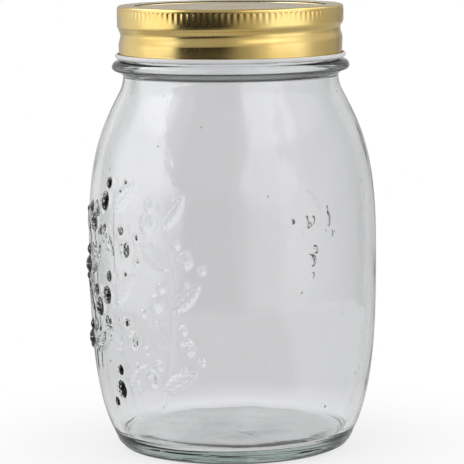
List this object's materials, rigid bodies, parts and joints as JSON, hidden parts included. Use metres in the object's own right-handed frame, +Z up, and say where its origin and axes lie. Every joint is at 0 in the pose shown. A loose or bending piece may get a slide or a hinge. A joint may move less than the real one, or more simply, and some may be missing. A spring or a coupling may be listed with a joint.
{
  "type": "preserving jar",
  "caption": "Barrel-shaped clear glass preserving jar with a raised leaf and berry relief, closed by a stamped sealing disc under a fluted, threaded gold screw band.",
  "frame": {"origin": "centre of the circle that the jar stands on", "axes": "+Z up along the jar's axis, -Y towards the front, with the relief on the front left"},
  "size_m": [0.1116, 0.1116, 0.1717],
  "materials": {
    "clear_glass": "polished soda-lime glass, very slightly grey-green in the thick base",
    "disc_lacquer": "glossy gold lacquer on tinplate",
    "sealing_compound": "matte soft sealing compound",
    "gold_lacquer": "glossy gold lacquer on tinplate outside, white lacquer inside and on the curl"
  },
  "bodies": {
    "jar": {"glass_jar": "clear_glass"},
    "lid": {"lid_disc": "disc_lacquer", "sealing_ring": "sealing_compound"},
    "band": {"screw_band": "gold_lacquer"}
  },
  "joints": [
    {"name": "lid_lift", "type": "slide", "parent": "jar", "child": "lid", "axis": [0, 0, 1], "range_m": [0, 0.0229]},
    {"name": "band_turn", "type": "hinge", "parent": "lid", "child": "band", "pos_m": [0, 0, 0.1696], "axis": [0, 0, 1], "range_deg": [0, 1620]}
  ],
  "couplings": [
    {"joint": "lid_lift", "follows": "band_turn", "m_per_rad": 0.00080851}
  ]
}
